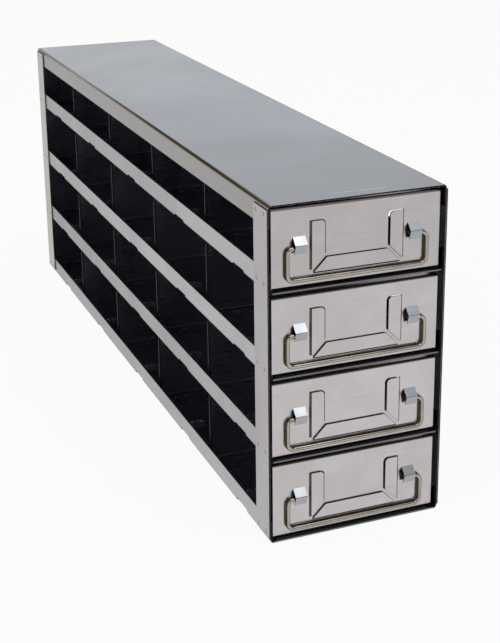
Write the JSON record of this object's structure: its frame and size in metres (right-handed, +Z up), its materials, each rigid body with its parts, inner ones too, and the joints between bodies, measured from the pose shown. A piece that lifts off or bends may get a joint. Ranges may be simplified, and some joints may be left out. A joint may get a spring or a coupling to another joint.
{
  "type": "freezer drawer rack",
  "caption": "Open rack of folded stainless steel that carries stacked sliding drawers; each drawer is parted into square box compartments and has a label holder and a swinging wire bail.",
  "frame": {"origin": "middle of the base's underside, where the frame stands on a freezer shelf", "axes": "+Y runs from the drawer fronts to the rear, +X to the right seen from the front, +Z up"},
  "size_m": [0.14, 0.6858, 0.258],
  "materials": {
    "frame_steel": "satin stainless sheet",
    "drawer_steel": "satin stainless sheet",
    "clip_steel": "bright stainless strap",
    "wire_steel": "bright drawn stainless wire"
  },
  "bodies": {
    "frame": {"top_cover": "frame_steel", "shelf_1": "frame_steel", "shelf_2": "frame_steel", "shelf_3": "frame_steel", "shelf_4": "frame_steel", "post_front_left": "frame_steel", "post_front_right": "frame_steel", "post_rear_left": "frame_steel", "post_rear_right": "frame_steel"},
    "drawer_1": {"drawer_1_tray": "drawer_steel", "drawer_1_front": "drawer_steel", "drawer_1_divider_1": "drawer_steel", "drawer_1_divider_2": "drawer_steel", "drawer_1_divider_3": "drawer_steel", "drawer_1_divider_4": "drawer_steel", "drawer_1_clip_left": "clip_steel", "drawer_1_clip_right": "clip_steel"},
    "bail_1": {"drawer_1_bail": "wire_steel"},
    "drawer_2": {"drawer_2_tray": "drawer_steel", "drawer_2_front": "drawer_steel", "drawer_2_divider_1": "drawer_steel", "drawer_2_divider_2": "drawer_steel", "drawer_2_divider_3": "drawer_steel", "drawer_2_divider_4": "drawer_steel", "drawer_2_clip_left": "clip_steel", "drawer_2_clip_right": "clip_steel"},
    "bail_2": {"drawer_2_bail": "wire_steel"},
    "drawer_3": {"drawer_3_tray": "drawer_steel", "drawer_3_front": "drawer_steel", "drawer_3_divider_1": "drawer_steel", "drawer_3_divider_2": "drawer_steel", "drawer_3_divider_3": "drawer_steel", "drawer_3_divider_4": "drawer_steel", "drawer_3_clip_left": "clip_steel", "drawer_3_clip_right": "clip_steel"},
    "bail_3": {"drawer_3_bail": "wire_steel"},
    "drawer_4": {"drawer_4_tray": "drawer_steel", "drawer_4_front": "drawer_steel", "drawer_4_divider_1": "drawer_steel", "drawer_4_divider_2": "drawer_steel", "drawer_4_divider_3": "drawer_steel", "drawer_4_divider_4": "drawer_steel", "drawer_4_clip_left": "clip_steel", "drawer_4_clip_right": "clip_steel"},
    "bail_4": {"drawer_4_bail": "wire_steel"}
  },
  "joints": [
    {"name": "drawer_1_slide", "type": "slide", "parent": "frame", "child": "drawer_1", "axis": [0, -1, 0], "range_m": [0, 0.6]},
    {"name": "bail_1_swing", "type": "hinge", "parent": "drawer_1", "child": "bail_1", "pos_m": [0, -0.3405, 0.031], "axis": [-1, 0, 0], "range_deg": [0, 170]},
    {"name": "drawer_2_slide", "type": "slide", "parent": "frame", "child": "drawer_2", "axis": [0, -1, 0], "range_m": [0, 0.6]},
    {"name": "bail_2_swing", "type": "hinge", "parent": "drawer_2", "child": "bail_2", "pos_m": [0, -0.3405, 0.0955], "axis": [-1, 0, 0], "range_deg": [0, 170]},
    {"name": "drawer_3_slide", "type": "slide", "parent": "frame", "child": "drawer_3", "axis": [0, -1, 0], "range_m": [0, 0.6]},
    {"name": "bail_3_swing", "type": "hinge", "parent": "drawer_3", "child": "bail_3", "pos_m": [0, -0.3405, 0.16], "axis": [-1, 0, 0], "range_deg": [0, 170]},
    {"name": "drawer_4_slide", "type": "slide", "parent": "frame", "child": "drawer_4", "axis": [0, -1, 0], "range_m": [0, 0.6]},
    {"name": "bail_4_swing", "type": "hinge", "parent": "drawer_4", "child": "bail_4", "pos_m": [0, -0.3405, 0.2245], "axis": [-1, 0, 0], "range_deg": [0, 170]}
  ]
}
